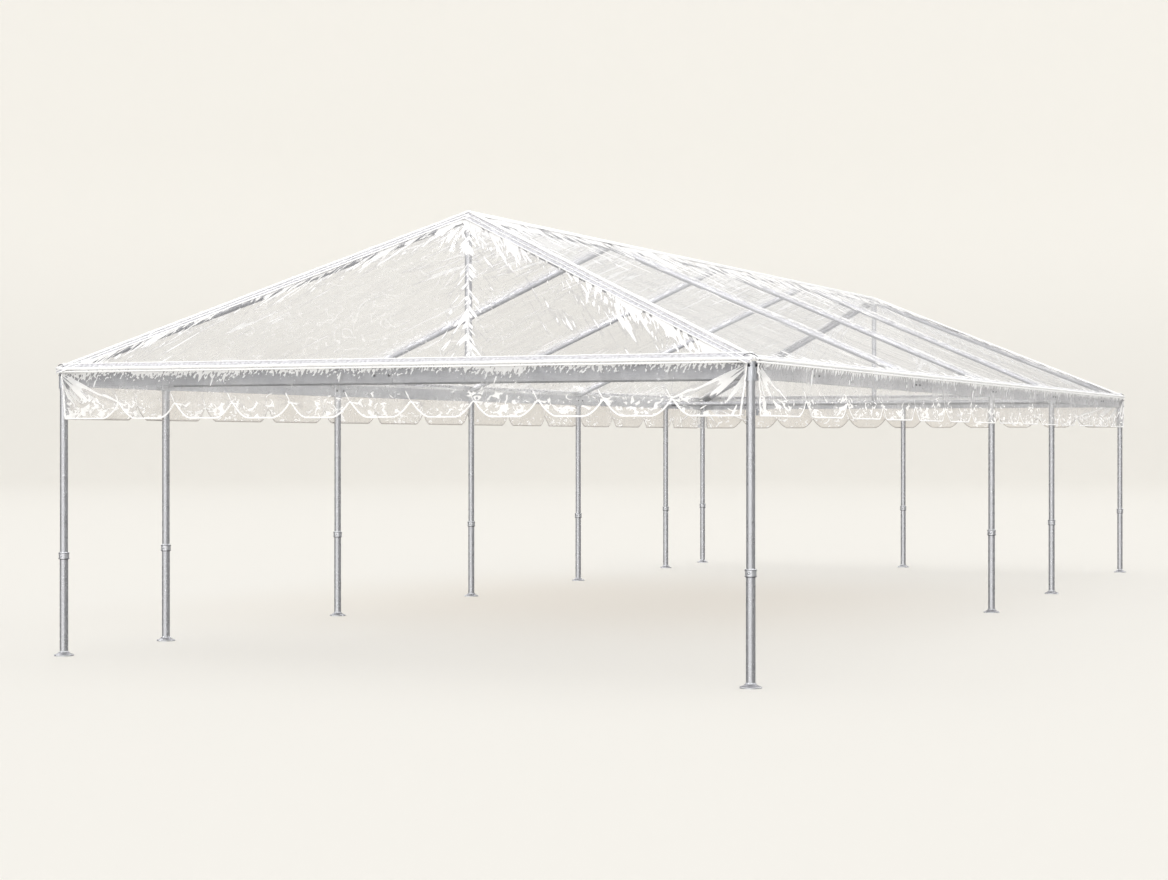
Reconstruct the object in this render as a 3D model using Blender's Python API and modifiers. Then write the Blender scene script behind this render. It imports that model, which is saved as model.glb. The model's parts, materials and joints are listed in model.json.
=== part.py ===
"""Clear-top frame tent: a hipped vinyl roof over round aluminium tube, on telescopic legs.

Metres, +Z up, +Y along the ridge. The origin is on the ground under the middle of the tent.
Front is -Y, rear is +Y, left is -X and right is +X.
"""

import math

import bmesh
import bpy
from mathutils import Vector

# Plan of the legs, measured between their centre lines
LEG_X = 3.0
LEG_Y = 7.575
BAY = 3.05
CROWN_Y = 2 * BAY
STATIONS = [BAY * step for step in range(-2, 3)]
RAFTER_STATIONS = [-BAY, 0.0, BAY]
LEFT_LEG_Y = [-LEG_Y, *STATIONS, LEG_Y]
RIGHT_LEG_Y = [-LEG_Y, 0.0, BAY, LEG_Y]

# Roof outline
OVERHANG = 0.055
ROOF_X = LEG_X + OVERHANG
ROOF_Y = LEG_Y + OVERHANG
EAVE_Z = 2.37
PEAK_Z = 3.69
SHEET = 0.006
SEAM_GAP = 0.0004

# Valance
VALANCE_DROP = 0.41
NOTCH_DEPTH = 0.12
NOTCH_HALF = 0.006
SCALLOP_CORNER = 0.15
CORNER_CURVE = 1.7
CORNER_STEPS = 4
END_SCALLOPS = 11
SIDE_SCALLOPS = 14
CORNER_SLIT_TOP = 0.065
CORNER_SLIT_FOOT = 0.11

# Tubes and sleeves
GAP = 0.0003
TUBE_R = 0.030
SLEEVE_R = 0.034
STUB_R = 0.0325
SHOE_POST_R = 0.0315
SLEEVE_LENGTH = 0.15
TUBE_SIDES = 16
BALL_RINGS = 10
SHARP_ANGLE = math.radians(35)
MERGE_DISTANCE = 0.0001

# Eave beams
BEAM_WIDTH = 0.05
BEAM_BOTTOM = 2.226
BEAM_TOP = 2.341
BEAM_MID = (BEAM_BOTTOM + BEAM_TOP) / 2
SPLICE_WIDTH = 0.058
SPLICE_HEIGHT = 0.121
SPLICE_LENGTH = 0.18
CORNER_REACH = 0.18

# Leg sockets and corner fittings
SOCKET_R = 0.039
SOCKET_BOTTOM = 2.21
CORNER_SOCKET_R = 0.041
CORNER_SOCKET_TOP = 2.352
HIP_STUB_X = 2.97

# Legs
PLATE_R = 0.0815
PLATE_T = 0.010
PLATE_EDGE = 0.002
RING_R = 0.042
RING_TOP = 0.032
LOWER_R = 0.0345
COLLAR_R = 0.0445
COLLAR_BOTTOM = 0.80
COLLAR_TOP = 0.852
COLLAR_LIP = 0.009
COLLAR_WAIST = 0.003
UPPER_R = 0.0325
LEG_SIDES = 20

# Ties and king posts
TIE_STUB = 0.07
TIE_SADDLE = 0.06
POST_FOOT_RISE = 0.10
HUB_R = 0.040
HUB_DROP = 0.01
HUB_SLEEVE_R = 0.036
HUB_SLEEVE_LENGTH = 0.12

SIDE_RISE = (PEAK_Z - EAVE_Z) / ROOF_X
END_RISE = (PEAK_Z - EAVE_Z) / (ROOF_Y - CROWN_Y)
SIDE_COS = math.cos(math.atan(SIDE_RISE))
END_COS = math.cos(math.atan(END_RISE))
SIDE_DROP = (SLEEVE_R + SHEET + GAP) / SIDE_COS
HIP_DROP = (SLEEVE_R + SHEET + GAP) / END_COS
RIDGE_Z = PEAK_Z - SIDE_DROP
HUB_Z = PEAK_Z - HIP_DROP - HUB_DROP
POST_FOOT_Z = BEAM_MID + POST_FOOT_RISE


def clear_scene():
    for obj in list(bpy.data.objects):
        bpy.data.objects.remove(obj)


def make_collection(name):
    collection = bpy.data.collections.new(name)
    bpy.context.scene.collection.children.link(collection)
    return collection


def make_material(name, colour, roughness, metallic, alpha=1.0):
    material = bpy.data.materials.new(name)
    material.use_nodes = True
    shader = material.node_tree.nodes["Principled BSDF"]
    shader.inputs["Base Color"].default_value = (*colour, 1.0)
    shader.inputs["Roughness"].default_value = roughness
    shader.inputs["Metallic"].default_value = metallic
    shader.inputs["Alpha"].default_value = alpha
    return material


clear_scene()
TENT = make_collection("frame_tent")
HELPERS = make_collection("helpers")
ALUMINIUM = make_material("aluminium_tube", (0.58, 0.58, 0.60), 0.35, 1.0)
CASTING = make_material("aluminium_casting", (0.66, 0.66, 0.67), 0.45, 1.0)
ROOF_VINYL = make_material("clear_roof_vinyl", (0.93, 0.93, 0.93), 0.12, 0.0, 0.3)
VALANCE_VINYL = make_material("clear_valance_vinyl", (0.95, 0.95, 0.95), 0.15, 0.0, 0.35)


def add_object(name, data, material, collection=None):
    obj = bpy.data.objects.new(name, data)
    (collection or TENT).objects.link(obj)
    if data.materials:
        data.materials[0] = material
    else:
        data.materials.append(material)
    return obj


def add_mesh(name, bm, material, smooth=True):
    mesh = bpy.data.meshes.new(name)
    bm.to_mesh(mesh)
    bm.free()
    if smooth:
        mesh.shade_smooth()
        mesh.set_sharp_from_angle(angle=SHARP_ANGLE)
    return add_object(name, mesh, material)


def tube(name, start, end, radius, material, sides=TUBE_SIDES):
    """A round bar from start to end, as one straight length of tube closed at both ends."""
    start, end = Vector(start), Vector(end)
    along = end - start
    bm = bmesh.new()
    bmesh.ops.create_cone(
        bm, cap_ends=True, segments=sides, radius1=radius, radius2=radius, depth=along.length
    )
    obj = add_mesh(name, bm, material)
    obj.location = (start + end) / 2
    obj.rotation_mode = "QUATERNION"
    obj.rotation_quaternion = along.to_track_quat("Z", "Y")
    return obj


def box(name, centre, size, material):
    bm = bmesh.new()
    bmesh.ops.create_cube(bm, size=1.0)
    bmesh.ops.scale(bm, vec=size, verts=bm.verts)
    obj = add_mesh(name, bm, material, smooth=False)
    obj.location = centre
    return obj


def ball(name, centre, radius, material):
    bm = bmesh.new()
    bmesh.ops.create_uvsphere(bm, u_segments=TUBE_SIDES, v_segments=BALL_RINGS, radius=radius)
    obj = add_mesh(name, bm, material)
    obj.location = centre
    return obj


def turned(name, profile, material, sides):
    """A solid of revolution about Z from (radius, height) points that run down its outer side."""
    bm = bmesh.new()
    points = [bm.verts.new((radius, 0.0, height)) for radius, height in profile]
    for first, second in zip(points, points[1:]):
        bm.edges.new((first, second))
    obj = add_mesh(name, bm, material)
    screw = obj.modifiers.new("turn", "SCREW")
    screw.steps = sides
    screw.render_steps = sides
    screw.use_merge_vertices = True
    screw.merge_threshold = MERGE_DISTANCE
    return obj


def fuse(base, others):
    """Joins the other solids to the base solid with Boolean unions."""
    for number, other in enumerate(others):
        TENT.objects.unlink(other)
        HELPERS.objects.link(other)
        other.name = f"{base.name}_joined_{number}"
        other.hide_render = True
        other.display_type = "WIRE"
        union = base.modifiers.new(f"union_{number}", "BOOLEAN")
        union.operation = "UNION"
        union.solver = "EXACT"
        union.object = other
    return base


def side_axis(x, y):
    """A point on the centre line of a side rafter, at a distance x from the ridge."""
    return Vector((x, y, PEAK_Z - abs(x) * SIDE_RISE - SIDE_DROP))


def hip_axis(x, x_side, y_side):
    """A point on the centre line of a hip rafter, at a distance x from the ridge."""
    run = (ROOF_Y - CROWN_Y) / ROOF_X
    return Vector((x_side * x, y_side * (CROWN_Y + x * run), PEAK_Z - x * SIDE_RISE - HIP_DROP))


def step_towards(start, end, distance):
    return start + (end - start).normalized() * distance


def make_leg(name, x, y):
    lower = turned(
        f"{name}_lower",
        [
            (0.0, COLLAR_TOP),
            (COLLAR_R, COLLAR_TOP),
            (COLLAR_R, COLLAR_TOP - COLLAR_LIP),
            (COLLAR_R - COLLAR_WAIST, COLLAR_TOP - COLLAR_LIP),
            (COLLAR_R - COLLAR_WAIST, COLLAR_BOTTOM + COLLAR_LIP),
            (COLLAR_R, COLLAR_BOTTOM + COLLAR_LIP),
            (COLLAR_R, COLLAR_BOTTOM),
            (LOWER_R, COLLAR_BOTTOM),
            (LOWER_R, RING_TOP),
            (RING_R, RING_TOP),
            (RING_R, PLATE_T),
            (PLATE_R - PLATE_EDGE, PLATE_T),
            (PLATE_R, PLATE_T - PLATE_EDGE),
            (PLATE_R, 0.0),
            (0.0, 0.0),
        ],
        ALUMINIUM,
        LEG_SIDES,
    )
    lower.location = (x, y, 0.0)
    foot = (x, y, COLLAR_TOP + GAP)
    head = (x, y, SOCKET_BOTTOM - GAP)
    tube(f"{name}_upper", foot, head, UPPER_R, ALUMINIUM, LEG_SIDES)


def make_legs():
    for number, y in enumerate(LEFT_LEG_Y, start=1):
        make_leg(f"left_leg_{number}", -LEG_X, y)
    for number, y in enumerate(RIGHT_LEG_Y, start=1):
        make_leg(f"right_leg_{number}", LEG_X, y)
    make_leg("rear_leg", 0.0, LEG_Y)


def splice(x, y, along_y):
    """The box sleeve round two beam ends."""
    size = (SPLICE_WIDTH, SPLICE_LENGTH) if along_y else (SPLICE_LENGTH, SPLICE_WIDTH)
    return box("splice", (x, y, BEAM_MID), (*size, SPLICE_HEIGHT), CASTING)


def leg_socket(x, y):
    return tube("socket", (x, y, SOCKET_BOTTOM), (x, y, BEAM_MID), SOCKET_R, CASTING, LEG_SIDES)


def rafter_shoe(x_side, y):
    """The elbow on top of a beam: a short post and the sleeve that takes the rafter's foot."""
    foot = side_axis(x_side * LEG_X, y)
    end = step_towards(foot, side_axis(0.0, y), SLEEVE_LENGTH)
    post = tube("shoe_post", (foot.x, y, BEAM_MID), foot, SHOE_POST_R, CASTING)
    sleeve = tube("shoe_sleeve", foot, end, STUB_R, CASTING)
    return [post, sleeve]


def tie_stub(x_side, y):
    inner = x_side * (LEG_X - BEAM_WIDTH / 2 - TIE_STUB)
    return tube("tie_stub", (inner, y, BEAM_MID), (x_side * LEG_X, y, BEAM_MID), SLEEVE_R, CASTING)


def make_side_beam(name, x_side, leg_stations):
    x = x_side * LEG_X
    length = 2 * (LEG_Y - CORNER_REACH - GAP)
    height = BEAM_TOP - BEAM_BOTTOM
    beam = box(name, (x, 0.0, BEAM_MID), (BEAM_WIDTH, length, height), ALUMINIUM)
    joined = [splice(x, y, True) for y in STATIONS]
    joined += [leg_socket(x, y) for y in leg_stations]
    for y in RAFTER_STATIONS:
        joined += rafter_shoe(x_side, y)
    joined += [tie_stub(x_side, y) for y in (-CROWN_Y, CROWN_Y)]
    fuse(beam, joined)


def make_end_beam(name, y_side, has_leg):
    y = y_side * LEG_Y
    length = 2 * (LEG_X - CORNER_REACH - GAP)
    height = BEAM_TOP - BEAM_BOTTOM
    beam = box(name, (0.0, y, BEAM_MID), (length, BEAM_WIDTH, height), ALUMINIUM)
    joined = [splice(0.0, y, False)]
    if has_leg:
        joined.append(leg_socket(0.0, y))
    fuse(beam, joined)


def make_corner_fitting(name, x_side, y_side):
    """A round leg socket with a sleeve for each beam and a stub for the hip rafter."""
    x, y = x_side * LEG_X, y_side * LEG_Y
    socket = tube(
        name, (x, y, SOCKET_BOTTOM), (x, y, CORNER_SOCKET_TOP), CORNER_SOCKET_R, CASTING, LEG_SIDES
    )
    centre_x = (x - x_side * CORNER_REACH / 2, y, BEAM_MID)
    centre_y = (x, y - y_side * CORNER_REACH / 2, BEAM_MID)
    along_x = box("sleeve_x", centre_x, (CORNER_REACH, SPLICE_WIDTH, SPLICE_HEIGHT), CASTING)
    along_y = box("sleeve_y", centre_y, (SPLICE_WIDTH, CORNER_REACH, SPLICE_HEIGHT), CASTING)
    start = hip_axis(HIP_STUB_X, x_side, y_side)
    end = step_towards(start, hip_axis(0.0, x_side, y_side), SLEEVE_LENGTH)
    hip_stub = tube("hip_stub", start, end, SLEEVE_R, CASTING)
    fuse(socket, [along_x, along_y, hip_stub])


def make_hip_rafter(name, x_side, y_side):
    foot = hip_axis(HIP_STUB_X, x_side, y_side)
    top = hip_axis(0.0, x_side, y_side)
    reach = SLEEVE_LENGTH + GAP
    tube(name, step_towards(foot, top, reach), step_towards(top, foot, reach), TUBE_R, ALUMINIUM)


def make_side_rafter(name, x_side, y):
    foot = side_axis(x_side * LEG_X, y)
    top = side_axis(0.0, y)
    reach = SLEEVE_LENGTH + GAP
    tube(name, step_towards(foot, top, reach), step_towards(top, foot, reach), TUBE_R, ALUMINIUM)


def make_ridge_beam():
    """The ridge tube with a tee at each pair of rafters."""
    end = CROWN_Y - SLEEVE_LENGTH - GAP
    ridge = tube("ridge_beam", (0.0, -end, RIDGE_Z), (0.0, end, RIDGE_Z), TUBE_R, ALUMINIUM)
    joined = []
    for y in RAFTER_STATIONS:
        tee_start = (0.0, y - SPLICE_LENGTH / 2, RIDGE_Z)
        tee_end = (0.0, y + SPLICE_LENGTH / 2, RIDGE_Z)
        joined.append(tube("tee", tee_start, tee_end, SLEEVE_R, CASTING))
        for x_side in (-1, 1):
            top = side_axis(0.0, y)
            end = step_towards(top, side_axis(x_side * LEG_X, y), SLEEVE_LENGTH)
            joined.append(tube("tee_stub", top, end, STUB_R, CASTING))
    fuse(ridge, joined)


def make_king_post(name, y_side):
    """An upright post with a crown head that takes the ridge and two hip rafters."""
    y = y_side * CROWN_Y
    post = tube(name, (0.0, y, POST_FOOT_Z + GAP), (0.0, y, HUB_Z), TUBE_R, ALUMINIUM)
    head_bottom = HUB_Z - HUB_SLEEVE_LENGTH
    joined = [
        tube("head", (0.0, y, head_bottom), (0.0, y, HUB_Z), HUB_SLEEVE_R, CASTING),
        ball("hub", (0.0, y, HUB_Z), HUB_R, CASTING),
    ]
    ridge_end = y - y_side * SLEEVE_LENGTH
    joined.append(tube("ridge_sleeve", (0.0, y, RIDGE_Z), (0.0, ridge_end, RIDGE_Z), SLEEVE_R, CASTING))
    for x_side in (-1, 1):
        top = hip_axis(0.0, x_side, y_side)
        end = step_towards(top, hip_axis(HIP_STUB_X, x_side, y_side), SLEEVE_LENGTH)
        joined.append(tube("hip_sleeve", top, end, SLEEVE_R, CASTING))
    fuse(post, joined)


def make_tie_beam(name, y_side):
    """A tube across the tent at eave level, with a saddle that carries the king post."""
    y = y_side * CROWN_Y
    end = LEG_X - BEAM_WIDTH / 2 - TIE_STUB - GAP
    tie = tube(name, (-end, y, BEAM_MID), (end, y, BEAM_MID), TUBE_R, ALUMINIUM)
    saddle = tube("saddle", (-TIE_SADDLE, y, BEAM_MID), (TIE_SADDLE, y, BEAM_MID), SLEEVE_R, CASTING)
    stub = tube("post_stub", (0.0, y, BEAM_MID), (0.0, y, POST_FOOT_Z), STUB_R, CASTING)
    fuse(tie, [saddle, stub])


def make_roof_panel(name, plan, height, thickness):
    """A sloping slab over a plan outline, with upright edges that meet its neighbours."""
    bm = bmesh.new()
    outline = [bm.verts.new((x, y, height(x, y))) for x, y in plan]
    top = bm.faces.new(outline)
    made = bmesh.ops.extrude_face_region(bm, geom=[top])["geom"]
    lower = [item for item in made if isinstance(item, bmesh.types.BMVert)]
    bmesh.ops.translate(bm, vec=(0.0, 0.0, -thickness), verts=lower)
    bmesh.ops.recalc_face_normals(bm, faces=bm.faces)
    add_mesh(name, bm, ROOF_VINYL, smooth=False)


def make_roof():
    run = (ROOF_Y - CROWN_Y) / ROOF_X
    for name, side in (("front_roof_panel", -1), ("rear_roof_panel", 1)):
        plan = [(-ROOF_X, side * ROOF_Y), (ROOF_X, side * ROOF_Y), (0.0, side * CROWN_Y)]
        make_roof_panel(
            name, plan, lambda x, y: EAVE_Z + (ROOF_Y - abs(y)) * END_RISE, SHEET / END_COS
        )
    eave_y = ROOF_Y - SEAM_GAP
    ridge_x = SEAM_GAP / 2
    ridge_y = CROWN_Y + ridge_x * run - SEAM_GAP
    for name, side in (("left_roof_panel", -1), ("right_roof_panel", 1)):
        plan = [
            (side * ROOF_X, -eave_y),
            (side * ROOF_X, eave_y),
            (side * ridge_x, ridge_y),
            (side * ridge_x, -ridge_y),
        ]
        make_roof_panel(
            name, plan, lambda x, y: EAVE_Z + (ROOF_X - abs(x)) * SIDE_RISE, SHEET / SIDE_COS
        )


def scallop_edge(left, right):
    """The lower edge of one scallop, from notch to notch, measured up from the hem."""
    points = []
    for step in range(CORNER_STEPS + 1):
        share = step / CORNER_STEPS
        along = left + NOTCH_HALF + SCALLOP_CORNER * share
        points.append((along, NOTCH_DEPTH * (1 - share) ** CORNER_CURVE))
    mirrored = [(left + right - along, up) for along, up in reversed(points)]
    return points + mirrored


def make_valance(name, half_length, count, top_z, turn, centre):
    """A hanging strip with scallops along its foot. Its ends are square and drawn back at the corners."""
    hem_half = half_length - CORNER_SLIT_FOOT
    foot = []
    width = 2 * hem_half / count
    for number in range(count):
        left = -hem_half + number * width
        foot += scallop_edge(left, left + width)
    corner = CORNER_STEPS + 1
    foot = [(-hem_half, 0.0), *foot[corner:-corner], (hem_half, 0.0)]
    hem_z = EAVE_Z - VALANCE_DROP
    top_half = half_length - CORNER_SLIT_TOP
    outline = [(along, hem_z + up) for along, up in foot]
    outline += [(top_half, top_z), (-top_half, top_z)]
    curve = bpy.data.curves.new(name, "CURVE")
    curve.dimensions = "2D"
    curve.fill_mode = "BOTH"
    curve.extrude = SHEET / 2
    spline = curve.splines.new("POLY")
    spline.points.add(len(outline) - 1)
    for point, (along, up) in zip(spline.points, outline):
        point.co = (along, up, 0.0, 1.0)
    spline.use_cyclic_u = True
    obj = add_object(name, curve, VALANCE_VINYL)
    obj.rotation_euler = (math.pi / 2, 0.0, turn)
    obj.location = centre


def make_valances():
    middle = SHEET / 2
    end_top = EAVE_Z - SHEET / END_COS - GAP
    side_top = EAVE_Z - SHEET / SIDE_COS - GAP
    quarter = math.pi / 2
    make_valance("front_valance", ROOF_X, END_SCALLOPS, end_top, 0.0, (0.0, -ROOF_Y + middle, 0.0))
    make_valance("rear_valance", ROOF_X, END_SCALLOPS, end_top, 0.0, (0.0, ROOF_Y - middle, 0.0))
    make_valance("left_valance", ROOF_Y, SIDE_SCALLOPS, side_top, quarter, (-ROOF_X + middle, 0.0, 0.0))
    make_valance("right_valance", ROOF_Y, SIDE_SCALLOPS, side_top, quarter, (ROOF_X - middle, 0.0, 0.0))


def make_frame():
    side_beam_legs = {"left": LEFT_LEG_Y[1:-1], "right": RIGHT_LEG_Y[1:-1]}
    for side, x_side in (("left", -1), ("right", 1)):
        make_side_beam(f"{side}_eave_beam", x_side, side_beam_legs[side])
        for number, y in enumerate(RAFTER_STATIONS, start=1):
            make_side_rafter(f"{side}_rafter_{number}", x_side, y)
    make_end_beam("front_eave_beam", -1, has_leg=False)
    make_end_beam("rear_eave_beam", 1, has_leg=True)
    for end, y_side in (("front", -1), ("rear", 1)):
        make_king_post(f"{end}_king_post", y_side)
        make_tie_beam(f"{end}_tie_beam", y_side)
        for side, x_side in (("left", -1), ("right", 1)):
            make_corner_fitting(f"{end}_{side}_corner_fitting", x_side, y_side)
            make_hip_rafter(f"{end}_{side}_hip_rafter", x_side, y_side)
    make_ridge_beam()


make_legs()
make_frame()
make_roof()
make_valances()
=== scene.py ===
"""Looks for the clear-top frame tent: creased clear vinyl, bound hems, piping, fasteners and satin metal.

Metres, +Z up, +Y along the ridge. The sizes below are those that the solids were made from.
"""

import json
import math

import bpy
import numpy as np
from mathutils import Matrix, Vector

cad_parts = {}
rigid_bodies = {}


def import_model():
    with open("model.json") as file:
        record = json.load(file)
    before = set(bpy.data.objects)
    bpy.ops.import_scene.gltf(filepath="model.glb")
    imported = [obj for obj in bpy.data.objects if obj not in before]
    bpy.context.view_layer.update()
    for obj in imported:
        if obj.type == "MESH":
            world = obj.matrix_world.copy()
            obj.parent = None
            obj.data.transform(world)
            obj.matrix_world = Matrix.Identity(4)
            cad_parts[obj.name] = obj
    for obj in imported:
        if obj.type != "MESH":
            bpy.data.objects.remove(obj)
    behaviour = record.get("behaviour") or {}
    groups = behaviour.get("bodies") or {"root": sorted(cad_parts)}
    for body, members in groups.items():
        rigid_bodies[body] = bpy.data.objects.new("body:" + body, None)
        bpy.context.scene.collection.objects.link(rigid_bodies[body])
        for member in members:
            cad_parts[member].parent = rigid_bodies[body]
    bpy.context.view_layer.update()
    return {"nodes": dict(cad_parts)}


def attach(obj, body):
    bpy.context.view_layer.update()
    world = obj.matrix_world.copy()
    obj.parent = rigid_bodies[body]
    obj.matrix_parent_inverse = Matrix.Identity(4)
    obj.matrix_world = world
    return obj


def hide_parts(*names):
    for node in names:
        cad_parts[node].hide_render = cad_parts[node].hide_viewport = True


# Sizes shared with the solids
LEG_X = 3.0
LEG_Y = 7.575
BAY = 3.05
CROWN_Y = 2 * BAY
RAFTER_STATIONS = [-BAY, 0.0, BAY]
SPLICE_STATIONS = [BAY * step for step in range(-2, 3)]
LEFT_LEG_Y = [-LEG_Y, *SPLICE_STATIONS, LEG_Y]
RIGHT_LEG_Y = [-LEG_Y, 0.0, BAY, LEG_Y]
ROOF_X = 3.055
ROOF_Y = 7.63
EAVE_Z = 2.37
PEAK_Z = 3.69
SHEET = 0.006
VALANCE_DROP = 0.41
NOTCH_DEPTH = 0.12
NOTCH_HALF = 0.006
SCALLOP_CORNER = 0.15
CORNER_CURVE = 1.7
END_SCALLOPS = 11
SIDE_SCALLOPS = 14
CORNER_SLIT_TOP = 0.065
CORNER_SLIT_FOOT = 0.11
BEAM_BOTTOM = 2.226
BEAM_TOP = 2.341
BEAM_MID = (BEAM_BOTTOM + BEAM_TOP) / 2
SPLICE_WIDTH = 0.058
CORNER_SOCKET_R = 0.041
PLATE_R = 0.0815
PLATE_T = 0.010
RING_R = 0.042
RING_TOP = 0.032
LOWER_R = 0.0345
UPPER_R = 0.0325
COLLAR_R = 0.0445
COLLAR_BOTTOM = 0.80
COLLAR_TOP = 0.852

END_RUN = ROOF_Y - CROWN_Y
RISE = PEAK_Z - EAVE_Z
SIDE_SLOPE = math.hypot(ROOF_X, RISE)
END_SLOPE = math.hypot(END_RUN, RISE)
HEM_Z = EAVE_Z - VALANCE_DROP
# Each corner as its side in x and in y
CORNERS = [(-1, -1), (-1, 1), (1, -1), (1, 1)]

# Vinyl
SIDE_GRID = 0.03
END_GRID = 0.024
VALANCE_GRID = 0.0135
HEM_WIDTH = 0.013
HEM_THICK = 0.003
TAPE_THICK = 0.0022
TRIM_END = 0.03
ROPE_R = 0.0115
UNDER_WELT_R = 0.0068
UPPER_WELT_R = 0.0048
CROWN_BEAD_R = 0.0095
HIP_SETBACK = 0.01
TOOTH_PITCH = 0.062
TOOTH_TOP = 0.026
TOOTH_LENGTH = 0.060
FLAP_SIDE = 0.050
FLAP_BACK = 0.020
FOLD_SHADE = 0.88
LIT_THROUGH = 0.4
# How far off the middle the crease from the peak meets the eave
CREASE_SHIFT = 0.77
STROKE_STAGGER = 0.37

# Metal
BOLT_SIZE = 0.009
SOCKET_BOLT_SIZE = 0.0095
COLLAR_PALE = (0.86, 0.86, 0.87)
COLLAR_DARK = (0.16, 0.16, 0.17)

# Studio
FLOOR_COLOUR = (0.822, 0.806, 0.770)
# Colour of the shadow painted on the floor under the tent
PAINTED_SHADOW_COLOUR = (0.765, 0.728, 0.672)
WALL_COLOUR = (0.90, 0.886, 0.852)
FLOOR_GLOW = 0.075
WALL_GLOW = 0.135
GLOW_TOP = 14.0
SKY_LIGHT = 0.92
OVERHEAD_LIGHT = 0.45
FRONT_LIGHT = 1.8
REAR_LIGHT = 0.6
FLOOR_R = 70.0
COVE_BEND = 16.0
WALL_TOP = 60.0
BOX_DISTANCE = 60.0
BOX_WIDTH = 60.0
BOX_HEIGHT = 30.0
HORIZON_GLOW = 0.27
LOW_SKY_GLOW = 0.95
OVERHEAD_GLOW = 0.95
FRONT_GLOW = 0.66

# Camera
CAMERA_AT = (8.2177, -22.6044, 1.7845)
CAMERA_TURN = 0.4096
CAMERA_LENS = 67.97

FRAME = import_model()


def smooth_step(low, high, value):
    share = np.clip((value - low) / (high - low), 0.0, 1.0)
    return share * share * (3 - 2 * share)


def lattice(i, j, seed):
    """A fixed random number from 0 to 1 for each whole-number point."""
    mixed = (i * 374761393 + j * 668265263 + seed * 1442695041) & 0xFFFFFFFF
    mixed = ((mixed ^ (mixed >> 13)) * 1274126177) & 0xFFFFFFFF
    return ((mixed ^ (mixed >> 16)) & 0xFFFF) / 65535.0


def soft_noise(x, y, seed):
    """Smooth noise from 0 to 1 over a plane."""
    i, j = np.floor(x).astype(np.int64), np.floor(y).astype(np.int64)
    fx, fy = x - i, y - j
    fx, fy = fx * fx * (3 - 2 * fx), fy * fy * (3 - 2 * fy)
    low = lattice(i, j, seed) * (1 - fx) + lattice(i + 1, j, seed) * fx
    high = lattice(i, j + 1, seed) * (1 - fx) + lattice(i + 1, j + 1, seed) * fx
    return low * (1 - fy) + high * fy


def ridges(x, y, seed, sharp):
    """Noise with narrow crests, from 0 to 1."""
    return (1 - np.abs(2 * soft_noise(x, y, seed) - 1)) ** sharp


def fan(across, up, seed, count, reach):
    """Creases that run out from a point, fading with distance. Returns height from -0.5 to 0.5."""
    distance = np.hypot(across, up)
    angle = np.arctan2(up, across)
    wave = ridges(angle * count, distance * 0.8, seed, 2.0) - 0.5
    return wave * smooth_step(0.02, 0.14, distance) * np.exp(-distance / reach)


def new_material(name):
    material = bpy.data.materials.new(name)
    material.use_nodes = True
    material.node_tree.nodes.clear()
    return material, material.node_tree


def node(tree, kind, inputs=None, **settings):
    made = tree.nodes.new(kind)
    for key, value in settings.items():
        setattr(made, key, value)
    for key, value in (inputs or {}).items():
        if isinstance(value, bpy.types.NodeSocket):
            tree.links.new(value, made.inputs[key])
        else:
            made.inputs[key].default_value = value
    return made


def maths(tree, operation, a, b=0.0):
    return node(tree, "ShaderNodeMath", {0: a, 1: b}, operation=operation).outputs[0]


def total(tree, *values):
    result = values[0]
    for value in values[1:]:
        result = maths(tree, "ADD", result, value)
    return result


def product(tree, *values):
    result = values[0]
    for value in values[1:]:
        result = maths(tree, "MULTIPLY", result, value)
    return result


def strongest(tree, values):
    result = values[0]
    for value in values[1:]:
        result = maths(tree, "MAXIMUM", result, value)
    return result


def gap(tree, a, b):
    """How far a and b are apart."""
    return maths(tree, "ABSOLUTE", maths(tree, "SUBTRACT", a, b))


def bumped(tree, height, strength, distance):
    made = node(tree, "ShaderNodeBump", {"Height": height, "Strength": strength, "Distance": distance})
    return made.outputs["Normal"]


def mix_shaders(tree, share, first, second):
    """first where share is 0 and second where it is 1."""
    return node(tree, "ShaderNodeMixShader", {0: share, 1: first, 2: second}).outputs[0]


def remap(tree, value, low, high, to_low=0.0, to_high=1.0):
    """value taken from low..high to to_low..to_high, smoothly and without going past either end."""
    made = node(
        tree,
        "ShaderNodeMapRange",
        {"Value": value, "From Min": low, "From Max": high, "To Min": to_low, "To Max": to_high},
        interpolation_type="SMOOTHSTEP",
    )
    return made.outputs["Result"]


def noise_at(tree, vector, scale=1.0, detail=2.0, distortion=0.0):
    made = node(
        tree,
        "ShaderNodeTexNoise",
        {"Vector": vector, "Scale": scale, "Detail": detail, "Distortion": distortion},
    )
    return made.outputs["Fac"]


def places(tree, stretch=(1.0, 1.0, 1.0)):
    """Object coordinates, which are metres in the tent's own frame, stretched per axis."""
    where = node(tree, "ShaderNodeTexCoord").outputs["Object"]
    return node(tree, "ShaderNodeMapping", {"Vector": where, "Scale": stretch}).outputs["Vector"]


def axes_of(tree, vector):
    return node(tree, "ShaderNodeSeparateXYZ", {0: vector}).outputs


def vector_of(tree, x, y, z):
    return node(tree, "ShaderNodeCombineXYZ", {0: x, 1: y, 2: z}).outputs[0]


def show(tree, shader):
    output = node(tree, "ShaderNodeOutputMaterial")
    tree.links.new(shader, output.inputs["Surface"])


def mix_colours(tree, first, second, share):
    """first where share is 0 and second where it is 1."""
    made = node(tree, "ShaderNodeMix", {0: share}, data_type="RGBA")
    for socket, colour in ((6, first), (7, second)):
        if isinstance(colour, bpy.types.NodeSocket):
            tree.links.new(colour, made.inputs[socket])
        else:
            made.inputs[socket].default_value = (*colour, 1.0)
    return made.outputs[2]


def scaled(colour, amount):
    return tuple(part * amount for part in colour)


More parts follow.
